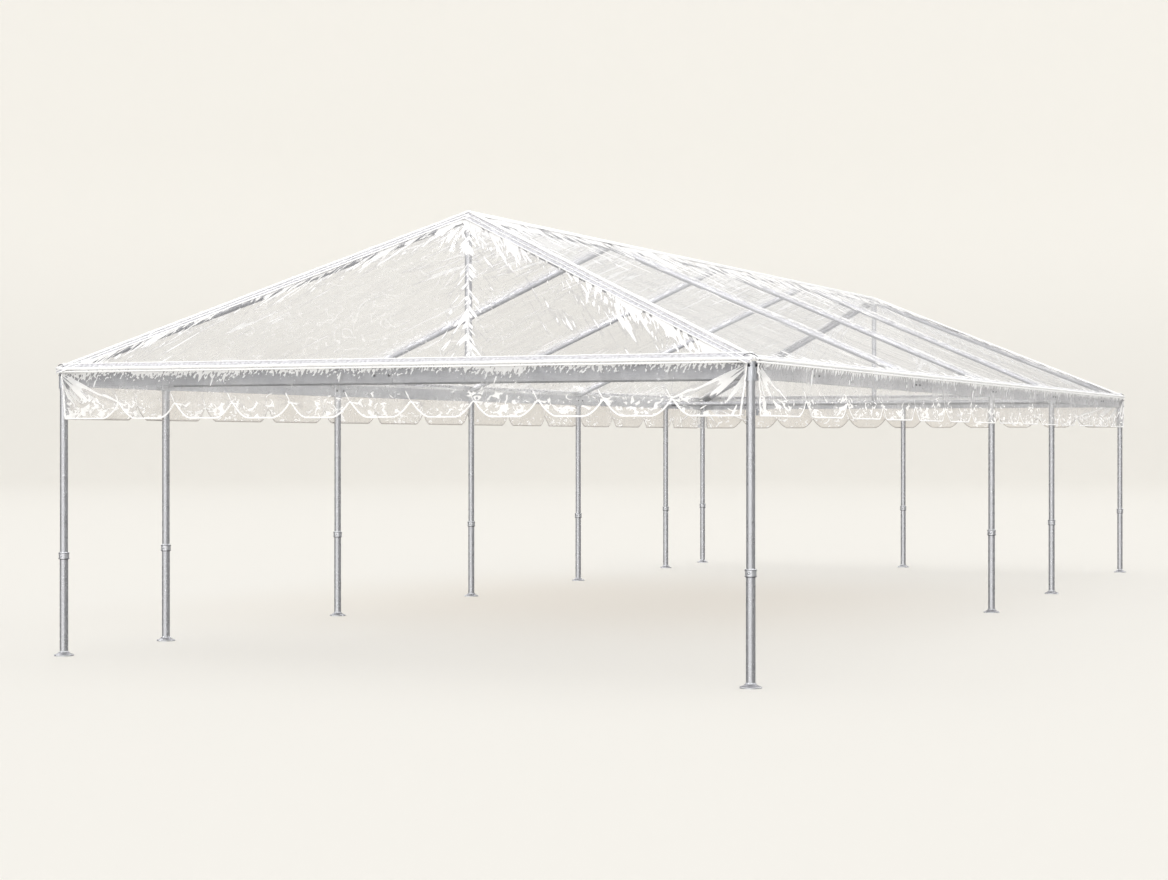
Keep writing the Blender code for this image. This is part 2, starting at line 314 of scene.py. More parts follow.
def collar_bands(tree, colour):
    """A paler collar with a dark joint above and below it, on the legs."""
    height = axes_of(tree, places(tree))[2]
    middle, half = (COLLAR_BOTTOM + COLLAR_TOP) / 2, (COLLAR_TOP - COLLAR_BOTTOM) / 2
    off = gap(tree, height, middle)
    band = remap(tree, off, half - 0.006, half - 0.002, 1.0, 0.0)
    joint = remap(tree, gap(tree, off, half), 0.002, 0.006, 1.0, 0.0)
    return mix_colours(tree, mix_colours(tree, colour, COLLAR_PALE, band), COLLAR_DARK, joint)


def bare_metal(tree, colour, roughness, normal):
    made = node(
        tree,
        "ShaderNodeBsdfPrincipled",
        {"Base Color": colour, "Roughness": roughness, "Metallic": 1.0, "Normal": normal},
    )
    show(tree, made.outputs[0])


def metal(name, dark, light, stretch, roughness, grain=0.25, collared=False):
    """Satin metal with draw lines along one axis, handling marks and a dull patchy bloom."""
    material, tree = new_material(name)
    lines = noise_at(tree, places(tree, stretch), detail=4.0)
    patches = noise_at(tree, places(tree), 9.0, detail=5.0, distortion=0.6)
    marks = remap(tree, noise_at(tree, places(tree), 55.0, detail=3.0), 0.60, 0.72, 0.0, 0.1)
    shade = total(tree, product(tree, lines, 0.45), product(tree, patches, 0.55))
    shade = maths(tree, "SUBTRACT", shade, marks)
    gloss = total(tree, remap(tree, shade, 0.3, 0.7, roughness + 0.07, roughness - 0.05), marks)
    colour = mix_colours(tree, dark, light, remap(tree, shade, 0.3, 0.7))
    if collared:
        colour = collar_bands(tree, colour)
    bare_metal(tree, colour, gloss, bumped(tree, lines, grain, 0.0006))
    return material


def casting(name, dark, light, sleeve=None):
    """Cast metal with a fine sandy skin. Away from the corner legs it takes the sleeve colour, if given."""
    material, tree = new_material(name)
    sand = noise_at(tree, places(tree), 420.0, detail=3.0)
    clouds = noise_at(tree, places(tree), 14.0, detail=4.0)
    shade = total(tree, product(tree, sand, 0.4), product(tree, clouds, 0.6))
    colour = mix_colours(tree, dark, light, remap(tree, shade, 0.3, 0.7))
    if sleeve:
        x, y, _ = axes_of(tree, places(tree))
        edge_x, edge_y = LEG_X - CORNER_SOCKET_R, LEG_Y - CORNER_SOCKET_R
        outer_x = remap(tree, maths(tree, "ABSOLUTE", x), edge_x - 0.002, edge_x)
        outer_y = remap(tree, maths(tree, "ABSOLUTE", y), edge_y - 0.002, edge_y)
        colour = mix_colours(tree, sleeve, colour, product(tree, outer_x, outer_y))
    gloss = remap(tree, clouds, 0.3, 0.7, 0.46, 0.36)
    bare_metal(tree, colour, gloss, bumped(tree, sand, 0.35, 0.0008))
    return material


def seam_place(tree, seam):
    """Distance from a seam, distance along it, and how creased the film is there, as a patchy 0 to 1."""
    where = node(tree, "ShaderNodeAttribute", attribute_name=seam).outputs["Vector"]
    return axes_of(tree, where)


def white_and_grey(tree, amount, level, soft):
    """White above a level and grey in the band under it, as light and shade lie side by side on folds."""
    white = remap(tree, amount, level, level + soft)
    grey = remap(tree, amount, level - 0.10, level - 0.02)
    return white, grey


def strokes(tree, seam, seed, pitch, length, slant, reach, level, soft=0.02):
    """Strokes that leave a seam at a slant, dense beside it, patchy along it and thinning over reach."""
    away, along, patches = seam_place(tree, seam)
    lean = total(tree, along, product(tree, away, slant))
    where = vector_of(tree, product(tree, away, 1 / length), product(tree, lean, 1 / pitch), seed)
    grain = noise_at(tree, where, detail=1.5)
    patches = product(tree, maths(tree, "SUBTRACT", patches, 0.5), 0.26)
    fade = product(tree, away, -0.30 / reach)
    return white_and_grey(tree, total(tree, grain, patches, fade), level, soft)


def fan_strokes(tree, point, seed, count, reach, level):
    """Strokes that run out from a point and widen as they go."""
    across, up, _ = seam_place(tree, point)
    distance = maths(tree, "SQRT", total(tree, product(tree, across, across), product(tree, up, up)))
    angle = maths(tree, "ARCTAN2", up, across)
    where = vector_of(tree, product(tree, angle, count), product(tree, distance, 1.5), seed)
    grain = noise_at(tree, where, detail=1.5)
    fade = product(tree, distance, -0.3 / reach)
    return white_and_grey(tree, total(tree, grain, fade), level, 0.02)


def hair_lines(tree, where, scale, zone, strength):
    """Thin curling lines, as crumpled film shows, coming and going over the sheet: painted highlight where
    zone is high and painted shade elsewhere.
    """
    swirl = noise_at(tree, where, scale, detail=2.0, distortion=1.8)
    thin = remap(tree, gap(tree, swirl, 0.5), 0.0, 0.013, 1.0, 0.0)
    elsewhere = maths(tree, "SUBTRACT", 1.0, zone)
    return product(tree, thin, zone, strength), product(tree, thin, elsewhere, strength)


def flecks(tree, where, scale, zone, level):
    """Crisp white blotches of painted highlight where zone is high."""
    grain = noise_at(tree, where, scale, detail=2.0, distortion=1.5)
    white = remap(tree, total(tree, grain, product(tree, zone, 0.35)), level, level + 0.015)
    return white, 0.0


def teeth(tree):
    """A row of narrow gathers that hang below the piping, painted white as highlight with painted grey shade
    round them.
    """
    below, along, length = seam_place(tree, "gather")
    share = maths(tree, "FRACT", product(tree, along, 1 / TOOTH_PITCH))
    point = product(tree, gap(tree, share, 0.5), 2.0)
    depth = maths(tree, "DIVIDE", maths(tree, "SUBTRACT", below, TOOTH_TOP), length)
    amount = maths(tree, "SUBTRACT", point, depth)
    return remap(tree, amount, 0.32, 0.40), remap(tree, amount, -0.1, 0.3, 0.0, 0.6)


def film_shader(tree, creases, haze, tint, ripple, roughness=0.09):
    """Clear film: see-through, mirrored at a slant, white where it is creased and greyer in its folds. The
    white is partly crease whitening and partly painted highlight; the grey is painted shade in the folds.
    """
    white = strongest(tree, [pair[0] for pair in creases])
    grey = strongest(tree, [pair[1] for pair in creases])
    bump = bumped(tree, ripple, 0.1, 0.02)
    milky = node(tree, "ShaderNodeBsdfDiffuse", {"Color": (0.985, 0.987, 0.995, 1.0), "Normal": bump})
    lit_through = node(tree, "ShaderNodeBsdfTranslucent", {"Color": (0.98, 0.982, 0.99, 1.0)})
    crease = mix_shaders(tree, LIT_THROUGH, milky.outputs[0], lit_through.outputs[0])
    # Painted shade: where the grey marks are, the see-through colour is darkened towards this fold colour.
    fold = (tint[0] * FOLD_SHADE, tint[1] * FOLD_SHADE, tint[2] * (FOLD_SHADE + 0.02))
    clear = node(tree, "ShaderNodeBsdfTransparent", {"Color": mix_colours(tree, tint, fold, grey)})
    gloss = {"Color": (1.0, 1.0, 1.0, 1.0), "Roughness": roughness, "Normal": bump}
    mirror = node(tree, "ShaderNodeBsdfGlossy", gloss)
    slant = node(tree, "ShaderNodeLayerWeight", {"Blend": 0.5, "Normal": bump}).outputs["Facing"]
    shine = total(tree, product(tree, maths(tree, "POWER", slant, 5.0), 0.42), 0.055)
    film = mix_shaders(tree, shine, clear.outputs[0], mirror.outputs[0])
    # Crease whitening and painted highlight: the white marks turn the film into a white, lit-through sheet.
    cover = maths(tree, "MINIMUM", total(tree, haze, white), 0.97)
    show(tree, mix_shaders(tree, cover, film, crease))


def end_roof_vinyl():
    """The film of the two triangular ends: feathered along its seams, with curling hair lines between. The
    white marks are crease whitening and painted highlight, the grey ones painted shade.
    """
    material, tree = new_material("clear_roof_film_end")
    where = places(tree)
    zone = seam_place(tree, "eave")[2]
    creases = [
        strokes(tree, "hip", 1.0, 0.045, 0.07, 1.6, 0.30, 0.40),
        strokes(tree, "hip", 2.0, 0.120, 0.20, 2.4, 0.80, 0.53),
        strokes(tree, "post", 3.0, 0.080, 0.14, 1.7, 0.30, 0.47),
        strokes(tree, "eave", 5.0, 0.040, 0.04, 0.5, 0.07, 0.49),
        fan_strokes(tree, "corner", 6.0, 4.0, 0.9, 0.58),
        hair_lines(tree, where, 2.6, zone, 0.60),
        hair_lines(tree, where, 5.5, zone, 0.45),
    ]
    ripple = noise_at(tree, where, 5.0, detail=1.0, distortion=0.8)
    film_shader(tree, creases, remap(tree, zone, 0.2, 0.8, 0.05, 0.10), (0.985, 0.984, 0.986), ripple)
    return material


def side_roof_vinyl():
    """The film of the two long slopes: combed down the slope, and most creased below the ridge. The white
    marks are crease whitening and painted highlight, the grey ones painted shade.
    """
    material, tree = new_material("clear_roof_film_side")
    where = places(tree)
    up, along, zone = seam_place(tree, "eave")
    combed = vector_of(tree, product(tree, along, 7.0), product(tree, up, 1.3), 0.0)
    streak = noise_at(tree, combed, detail=2.0)
    amount = total(tree, streak, product(tree, zone, 0.20))
    creases = [
        strokes(tree, "ridge", 21.0, 0.150, 0.40, 0.40, 1.50, 0.46),
        strokes(tree, "ridge", 22.0, 0.070, 0.16, 0.35, 0.45, 0.36),
        strokes(tree, "hip", 23.0, 0.100, 0.14, 0.9, 0.40, 0.40),
        strokes(tree, "post", 24.0, 0.090, 0.040, 0.2, 0.24, 0.41),
        strokes(tree, "eave", 25.0, 0.120, 0.10, 0.5, 0.30, 0.43),
        # Streaks down the slope: white as painted highlight, grey as painted shade.
        (remap(tree, amount, 0.77, 0.80, 0.0, 0.85), remap(tree, streak, 0.52, 0.66, 0.0, 0.5)),
        hair_lines(tree, where, 2.2, zone, 0.30),
    ]
    ripple = total(tree, noise_at(tree, where, 5.0, detail=1.0), product(tree, streak, 0.3))
    film_shader(tree, creases, remap(tree, zone, 0.2, 0.8, 0.04, 0.09), (0.987, 0.985, 0.985), ripple)
    return material


def skirt_vinyl(name, tint, along_y, fleck_level):
    """The film of a valance: gathered under its piping, fanned at its notches, blotched along its foot. Its
    white marks are crease whitening and painted highlight, its grey ones painted shade.
    """
    material, tree = new_material(name)
    where = places(tree)
    below, along, zone = seam_place(tree, "eave")
    flat = vector_of(tree, product(tree, along, 0.5 if along_y else 1.0), product(tree, below, 1.25), 0.0)
    width = 2.0 if along_y else 1.0
    low_zone = total(tree, product(tree, zone, 0.5), remap(tree, below, 0.08, 0.34, 0.0, 0.6))
    creases = [
        teeth(tree) if along_y else strokes(tree, "eave", 41.0, 0.022, 0.03, 0.4, 0.09, 0.33),
        strokes(tree, "eave", 42.0, 0.040 * width, 0.16, 0.25, 0.34, 0.61),
        fan_strokes(tree, "notch", 43.0, 2.2, 0.22, 0.52),
        fan_strokes(tree, "end", 44.0, 6.0, 1.3, 0.50),
        flecks(tree, flat, 11.0, low_zone, fleck_level),
        hair_lines(tree, where, 7.0, zone, 0.40),
    ]
    ripple = noise_at(tree, where, 9.0, detail=1.0, distortion=0.8)
    haze = 0.16 if along_y else 0.08
    film_shader(tree, creases, remap(tree, zone, 0.2, 0.8, haze, haze + 0.10), tint, ripple)
    return material


def trim_vinyl(name, colour, opacity, stretch, roughness):
    """Welded tape and piping: pale vinyl, ribbed along its length, partly see-through."""
    material, tree = new_material(name)
    ribs = noise_at(tree, places(tree, stretch), detail=3.0)
    specks = noise_at(tree, places(tree), 38.0, detail=2.0)
    shader = node(
        tree,
        "ShaderNodeBsdfPrincipled",
        {
            "Base Color": mix_colours(tree, scaled(colour, 0.9), colour, remap(tree, ribs, 0.3, 0.55)),
            "Roughness": remap(tree, specks, 0.3, 0.7, roughness - 0.06, roughness + 0.1),
            "Normal": bumped(tree, ribs, 0.4, 0.002),
        },
    )
    if opacity >= 1:
        show(tree, shader.outputs[0])
        return material
    cover = remap(tree, specks, 0.35, 0.65, opacity - 0.12, opacity + 0.12)
    clear = node(tree, "ShaderNodeBsdfTransparent", {"Color": (0.90, 0.90, 0.92, 1.0)})
    show(tree, mix_shaders(tree, cover, clear.outputs[0], shader.outputs[0]))
    return material


def stage_paint(name):
    """The seamless floor and wall, with a very faint mottle and a painted shadow on the ground under the
    tent.
    """
    material, tree = new_material(name)
    where = places(tree)
    x, y, height = axes_of(tree, where)
    mottle = noise_at(tree, where, 0.35, detail=2.0)
    paint = mix_colours(tree, scaled(FLOOR_COLOUR, 0.994), FLOOR_COLOUR, mottle)
    # Painted shadow: under the tent the floor is mixed towards a darker, warmer colour, fading out towards
    # the tent's ends and sides.
    beside = maths(tree, "ABSOLUTE", total(tree, x, 1.2))
    inside_x = remap(tree, beside, 0.8, 5.6, 1.0, 0.0)
    inside_y = remap(tree, maths(tree, "ABSOLUTE", y), 0.5, 6.5, 1.0, 0.0)
    paint = mix_colours(tree, paint, PAINTED_SHADOW_COLOUR, product(tree, inside_x, inside_y))
    paint = mix_colours(tree, paint, WALL_COLOUR, remap(tree, height, 0.0, GLOW_TOP))
    shader = node(
        tree,
        "ShaderNodeBsdfPrincipled",
        {
            "Base Color": paint,
            "Roughness": 0.9,
            "Specular IOR Level": 0.0,
            "Emission Color": (*WALL_COLOUR, 1.0),
            "Emission Strength": remap(tree, height, 0.0, GLOW_TOP, FLOOR_GLOW, WALL_GLOW),
        },
    )
    show(tree, shader.outputs[0])
    material.cycles.emission_sampling = "NONE"
    return material


def add_piece(name, points, faces, material, slot=None, smooth=True):
    mesh = bpy.data.meshes.new(name)
    mesh.from_pydata([tuple(p) for p in points], [], faces)
    mesh.validate()
    mesh.materials.append(material)
    if smooth:
        mesh.shade_smooth()
    obj = bpy.data.objects.new(name, mesh)
    bpy.context.scene.collection.objects.link(obj)
    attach(obj, "root")
    return obj


def patchy(u, s, size, seed):
    """Soft patches of a given size in metres, from 0 to 1."""
    broad = soft_noise(u / size, s / size, seed)
    return 0.65 * broad + 0.35 * soft_noise(u / size * 2.7, s / size * 2.7, seed + 1)


def set_place(obj, seam, away, along, third):
    """Keeps each point's distance from a seam and along it, and one more value, for the film's creases."""
    values = np.stack([away, along, third], axis=-1)
    attribute = obj.data.attributes.new(seam, "FLOAT_VECTOR", "POINT")
    attribute.data.foreach_set("vector", values.astype(np.float32).ravel())


def nearest_offset(across, up, anchors):
    """Offset from the nearest of some points."""
    over = np.stack([across - x for x, _ in anchors])
    rise = np.stack([up - y for _, y in anchors])
    nearest = np.argmin(over**2 + rise**2, axis=0)[None]
    return np.take_along_axis(over, nearest, 0)[0], np.take_along_axis(rise, nearest, 0)[0]


def grid_faces(rows, columns, flip=False):
    faces = []
    for row in range(rows - 1):
        for column in range(columns - 1):
            a = row * columns + column
            quad = (a, a + 1, a + columns + 1, a + columns)
            faces.append(quad[::-1] if flip else quad)
    return faces


def tube_faces(rings, sides):
    """Faces between rings of points, and one over each end."""
    faces = []
    for ring in range(rings - 1):
        for k in range(sides):
            a, b = ring * sides + k, ring * sides + (k + 1) % sides
            faces.append((a, b, b + sides, a + sides))
    last = (rings - 1) * sides
    return [*faces, tuple(range(sides))[::-1], tuple(range(last, last + sides))]


def sweep(path, up, profile):
    """Points and faces of a closed profile carried along a path. profile is (side, up) offsets."""
    path = np.asarray(path, float)
    ups = np.broadcast_to(np.asarray(up, float), path.shape)
    tangent = np.gradient(path, axis=0)
    tangent /= np.linalg.norm(tangent, axis=1)[:, None]
    side = np.cross(tangent, ups)
    side /= np.linalg.norm(side, axis=1)[:, None]
    rise = np.cross(side, tangent)
    points = np.concatenate([path + side * a + rise * b for a, b in profile], axis=1).reshape(-1, 3)
    return points, tube_faces(len(path), len(profile))


def joined(parts):
    """Several (points, faces) as one."""
    points, faces, start = [], [], 0
    for part_points, part_faces in parts:
        points.append(np.asarray(part_points, float))
        faces += [tuple(index + start for index in face) for face in part_faces]
        start += len(part_points)
    return np.concatenate(points), faces


def round_profile(radius, sides=8):
    turn = 2 * math.pi / sides
    return [(radius * math.cos(turn * k), radius * math.sin(turn * k)) for k in range(sides)]


def tape_profile(width, thick):
    """A flat strip with thinned edges. Its last side but one is its back."""
    half, low = width / 2, thick / 2
    top = [(-half, -low * 0.3), (-half * 0.9, low), (half * 0.9, low), (half, -low * 0.3)]
    return [*top, (half, -low), (-half, -low)]


def straight(start, end, step=0.05):
    start, end = np.asarray(start, float), np.asarray(end, float)
    count = max(2, int(np.linalg.norm(end - start) / step) + 1)
    return start + (end - start) * np.linspace(0, 1, count)[:, None]


def wander(path, direction, amount, seed):
    """A path moved a little to and fro along a direction, as hand-sewn trim is."""
    steps = np.arange(len(path)) * 0.35
    shift = (soft_noise(steps, steps * 0, seed) - 0.5) * 2 * amount
    ends = np.minimum(np.arange(len(path)), np.arange(len(path))[::-1])
    shift = shift * np.clip(ends / 4, 0, 1)
    return path + np.asarray(direction, float) * shift[:, None]


def unit(vector):
    vector = np.asarray(vector, float)
    return vector / np.linalg.norm(vector)


def panel_relief(u, s, slope, held_from, anchors, seed, slant):
    """Height of the film above its plane, at u along the eave and s up the slope."""
    held = np.ones_like(u)
    for distance in held_from:
        held = held * smooth_step(0.02, 0.30, distance)
    edges = smooth_step(0.0, 0.08, s) * smooth_step(0.0, 0.08, slope - s)
    sag = -0.020 * held * np.sin(math.pi * s / slope)
    lean = u + slant * s
    long_folds = (ridges(lean / 0.24, s / 1.7, seed, 1.5) - 0.5) * 0.006
    fine_folds = (ridges(lean / 0.10, s / 0.8, seed + 1, 1.6) - 0.5) * 0.0024
    quilting = (soft_noise(u / 0.5, s / 0.6, seed + 2) - 0.5) * 0.010
    fans = np.zeros_like(u)
    for number, (anchor_u, anchor_s) in enumerate(anchors):
        fans += fan(u - anchor_u, s - anchor_s, seed + 10 + number, 5.0, 0.7)
    return sag + edges * (long_folds + fine_folds + quilting + fans * 0.014)


def hip_place(u, s, slope, eave_half, top_half):
    """Distance from the nearer hip and distance along it, measured in the sheet."""
    narrowing = eave_half - top_half
    length = math.hypot(narrowing, slope)
    inward = eave_half - np.abs(u)
    away = (inward * slope - s * narrowing) / length
    return np.maximum(away, 0.0), (inward * narrowing + s * slope) / length


def placed(along_y, outwards, along, height):
    """Points of a sheet on one side of the tent, whose eave runs along y or else along x."""
    return np.stack([outwards, along, height] if along_y else [along, outwards, height], axis=-1)


def roof_sheet(name, side_panel, side, material):
    """One sloping sheet as a single wrinkled surface."""
    slope = SIDE_SLOPE if side_panel else END_SLOPE
    eave_half = ROOF_Y if side_panel else ROOF_X
    top_half = CROWN_Y if side_panel else 0.012
    step = SIDE_GRID if side_panel else END_GRID
    rows, columns = int(slope / step) + 1, int(2 * eave_half / step) + 1
    share, across = np.meshgrid(np.linspace(0, 1, rows), np.linspace(-1, 1, columns), indexing="ij")
    u = across * (eave_half * (1 - share) + top_half * share)
    s = share * slope
    away, along_hip = hip_place(u, s, slope, eave_half, top_half)
    posts = RAFTER_STATIONS if side_panel else [CREASE_SHIFT * (1 - share)]
    from_post, _ = nearest_offset(u, u * 0, [(at, 0.0) for at in posts])
    beside_post = np.abs(from_post)
    anchors = [(-eave_half, 0.0), (eave_half, 0.0), (-top_half, slope), (top_half, slope)]
    seed = 40 + (20 if side_panel else 0) + (7 if side > 0 else 0)
    slant = 0.10 if side_panel else 0.25
    height = panel_relief(u, s, slope, [away, slope - s, s, beside_post], anchors, seed, slant) - SHEET / 2
    outwards = ROOF_X * (1 - share) if side_panel else ROOF_Y - END_RUN * share
    plane = placed(side_panel, side * outwards, u, EAVE_Z + RISE * share)
    normal = (SIDE_NORMALS if side_panel else END_NORMALS)[side]
    points = plane + normal * height[..., None]
    faces = grid_faces(rows, columns, (side > 0) != side_panel)
    obj = add_piece(name, points.reshape(-1, 3), faces, material, "clear_roof_vinyl")
    set_place(obj, "eave", s, u, patchy(u, s, 0.9, seed + 3))
    set_place(obj, "ridge", slope - s, u, patchy(u, s, 0.8, seed + 5))
    set_place(obj, "hip", away, along_hip, patchy(u, s, 0.6, seed + 7))
    set_place(obj, "post", beside_post, s + STROKE_STAGGER * (from_post > 0), patchy(u, s, 0.4, seed + 9))
    set_place(obj, "corner", *nearest_offset(u, s, anchors), u * 0)
    return obj


def scallop_rise(along, notches):
    beside = np.min(np.abs(along[..., None] - notches), axis=-1)
    share = np.clip((beside - NOTCH_HALF) / SCALLOP_CORNER, 0.0, 1.0)
    return NOTCH_DEPTH * (1 - share) ** CORNER_CURVE


def valance_sheet(side_name, along_y, side, count, seed, material):
    """One hanging strip as a single rippled surface, row 0 at its top. Returns it and its border."""
    half_length = ROOF_Y if along_y else ROOF_X
    columns, rows = count * int(round(2 * half_length / count / VALANCE_GRID)) + 1, 27
    hem_half = half_length - CORNER_SLIT_FOOT
    top_half = half_length - CORNER_SLIT_TOP
    share, across = np.meshgrid(np.linspace(0, 1, rows), np.linspace(-1, 1, columns), indexing="ij")
    along = across * (top_half * (1 - share) + hem_half * share)
    notches = np.linspace(-hem_half, hem_half, count + 1)[1:-1]
    top = EAVE_Z - SHEET
    foot = HEM_Z + scallop_rise(across * hem_half, notches)
    height = top * (1 - share) + foot * share
    below = top - height
    hang = smooth_step(0.05, VALANCE_DROP, below)
    width = 2 * hem_half / count
    belly = 0.012 * hang * np.sin(math.pi * np.mod((across + 1) * hem_half / width, 1.0)) ** 2
    waves = (soft_noise(along / 0.20, below / 0.5, seed) - 0.4) * 0.030 * hang
    gather = np.abs(np.mod(along / TOOTH_PITCH, 1.0) - 0.5) - 0.25
    gather = gather * 0.020 * np.exp(-below / 0.045) * smooth_step(0.0, 0.012, below)
    crumple = ridges(along / 0.11 + below * 2, below / 0.16, seed + 2, 1.5) - 0.5
    crumple = crumple * 0.006 * smooth_step(0.02, 0.2, below)
    tips = [(notch, HEM_Z + NOTCH_DEPTH) for notch in notches]
    to_notch, over_notch = nearest_offset(along, height, tips)
    to_end = half_length - np.abs(along)
    notch_fans = fan(to_notch, over_notch, seed + 20, 4.0, 0.13) * 0.016
    fans = notch_fans + fan(to_end, below, seed + 60, 7.0, 0.38) * 0.030
    outward = np.maximum(belly + waves + gather + crumple + fans, -0.009)
    plane = side * ((ROOF_X if along_y else ROOF_Y) - SHEET / 2 + outward)
    points = placed(along_y, plane, along, height)
    faces = grid_faces(rows, columns, (side > 0) != along_y)
    name = f"{side_name}_valance_sheet"
    obj = add_piece(name, points.reshape(-1, 3), faces, material, "clear_valance_vinyl")
    leaning = along + 0.5 * below + 0.09 * soft_noise(along / 0.11, below * 0, seed + 3)
    uneven = TOOTH_LENGTH * (0.4 + 1.1 * soft_noise(along / 0.045, below * 0, seed + 4))
    set_place(obj, "gather", below, leaning, uneven)
    set_place(obj, "eave", below, along, patchy(along, below, 0.35, seed + 5))
    set_place(obj, "notch", to_notch, over_notch, along * 0)
    set_place(obj, "end", to_end, below, along * 0)
    border = np.concatenate([points[:-1, 0], points[-1, :], points[-2::-1, -1]])
    return obj, border


def make_valance(side_name, along_y, side, count, seed, material, hem_front, hem_back_shade):
    obj, border = valance_sheet(side_name, along_y, side, count, seed, material)
    facing = (side, 0.0, 0.0) if along_y else (0.0, side, 0.0)
    profile = tape_profile(HEM_WIDTH, HEM_THICK)
    binding = sweep(border, facing, profile)
    hem = add_piece(f"{side_name}_valance_hem", *binding, hem_front, "clear_valance_vinyl")
    # The back face of the binding takes the painted-shade copy of the hem.
    hem.data.materials.append(hem_back_shade)
    back = len(profile) - 2
    for face in hem.data.polygons[:-2]:
        face.material_index = int(face.index % len(profile) == back)
    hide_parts(f"{side_name}_valance")


SIDE_NORMALS = {s: unit((s * RISE, 0.0, ROOF_X)) for s in (-1, 1)}
END_NORMALS = {s: unit((0.0, s * RISE, END_RUN)) for s in (-1, 1)}


def eave_trim(side_name, along_y, side, tape, piping):
    """A roped edge with a fine welt under it, and up the slope a tape that ends in another welt."""
    if along_y:
        start = (side * ROOF_X, -ROOF_Y + TRIM_END, EAVE_Z)
        end = (side * ROOF_X, ROOF_Y - TRIM_END, EAVE_Z)
        normal, out = SIDE_NORMALS[side], (side, 0.0, 0.0)
        up_slope = unit((-side * ROOF_X, 0.0, RISE))
    else:
        start = (-ROOF_X + TRIM_END, side * ROOF_Y, EAVE_Z)
        end = (ROOF_X - TRIM_END, side * ROOF_Y, EAVE_Z)
        normal, out = END_NORMALS[side], (0.0, side, 0.0)
        up_slope = unit((0.0, -side * END_RUN, RISE))
    edge = straight(start, end)
    out, down = np.array(out), np.array((0.0, 0.0, -1.0))
    band_line = wander(edge + up_slope * 0.036 + normal * 0.0015, normal, 0.0006, 11)
    band = sweep(band_line, normal, tape_profile(0.052, TAPE_THICK))
    rope_line = wander(edge + out * 0.001 - down * 0.001, down, 0.0012, 12)
    rope = sweep(rope_line, normal, round_profile(ROPE_R, 10))
    under_line = wander(edge + out * 0.0015 + down * 0.024, down, 0.0010, 14)
    under = sweep(under_line, normal, round_profile(UNDER_WELT_R))
    upper_line = wander(edge + up_slope * 0.064 + normal * 0.003, up_slope, 0.0015, 13)
    upper = sweep(upper_line, normal, round_profile(UPPER_WELT_R, 6))
    add_piece(f"{side_name}_eave_tape", *band, tape, "clear_roof_vinyl")
    add_piece(f"{side_name}_eave_piping", *joined([rope, under, upper]), piping, "clear_roof_vinyl")


def seam_trim(name, line, sides, crown, tape, piping):
    """Over a hip or the ridge: a white crown bead, and on each side two tapes between fine welts.

    sides are (normal, away) for the two sheets that meet, with away pointing from the seam across the sheet.
    """
    bands, welts = [], []
    for number, (normal, away) in enumerate(sides):
        for at, width in ((0.024, 0.026), (0.061, 0.030)):
            centre = line + away * at + normal * 0.0018
            centre = wander(centre, normal, 0.0006, 21 + number)
            bands.append(sweep(centre, normal, tape_profile(width, TAPE_THICK)))
        for at, radius in ((0.0415, 0.0044), (0.079, 0.0050)):
            edge = wander(line + away * at + normal * 0.003, away, 0.0015, 25 + number)
            welts.append(sweep(edge, normal, round_profile(radius, 6)))
    crown_line = wander(line + crown * 0.002, crown, 0.0008, 29)
    welts.append(sweep(crown_line, crown, round_profile(CROWN_BEAD_R)))
    add_piece(f"{name}_tape", *joined(bands), tape, "clear_roof_vinyl")
    add_piece(f"{name}_piping", *joined(welts), piping, "clear_roof_vinyl")


def hip_trim(name, x_side, y_side, tape, piping):
    foot_z = EAVE_Z + HIP_SETBACK * RISE / ROOF_X
    foot = np.array((x_side * (ROOF_X - HIP_SETBACK), y_side * (ROOF_Y - HIP_SETBACK), foot_z))
    top = np.array((0.0, y_side * CROWN_Y, PEAK_Z))
    along = unit(top - foot)
    normals = (SIDE_NORMALS[x_side], END_NORMALS[y_side])
    sides = []
    for normal, other in (normals, normals[::-1]):
        away = unit(np.cross(along, normal))
        sides.append((normal, -away if np.dot(away, other) > 0 else away))
    seam_trim(name, straight(foot, top), sides, unit(normals[0] + normals[1]), tape, piping)


def ridge_trim(tape, piping):
    line = straight((0.0, -CROWN_Y, PEAK_Z), (0.0, CROWN_Y, PEAK_Z))
    sides = [(SIDE_NORMALS[side], unit((side * ROOF_X, 0.0, -RISE))) for side in (-1, 1)]
    seam_trim("ridge", line, sides, np.array((0.0, 0.0, 1.0)), tape, piping)


def flap_grid(x_side, y_side, on_end, heights, slit):
    """A valance end turned back beside a corner leg, as rows of points from its folded edge inwards."""
    if on_end:
        folded = np.stack([ROOF_X - slit, np.full(len(slit), ROOF_Y)], axis=-1)
        inner = np.array((LEG_X - FLAP_SIDE, LEG_Y - FLAP_BACK))
    else:
        folded = np.stack([np.full(len(slit), ROOF_X), ROOF_Y - slit], axis=-1)
        inner = np.array((LEG_X - FLAP_BACK, LEG_Y - FLAP_SIDE))
    turns = np.linspace(0.0, 1.0, 6)[None, :, None]
    plan = folded[:, None] * (1 - turns) + inner * turns
    ripple = 0.004 * np.sin(np.arange(len(slit)) * 0.9 + x_side + 2 * y_side)
    plan = plan + ripple[:, None, None] * turns
    upright = np.broadcast_to(heights[:, None, None], (*plan.shape[:2], 1))
    return np.concatenate([plan * np.array((x_side, y_side)), upright], axis=-1)


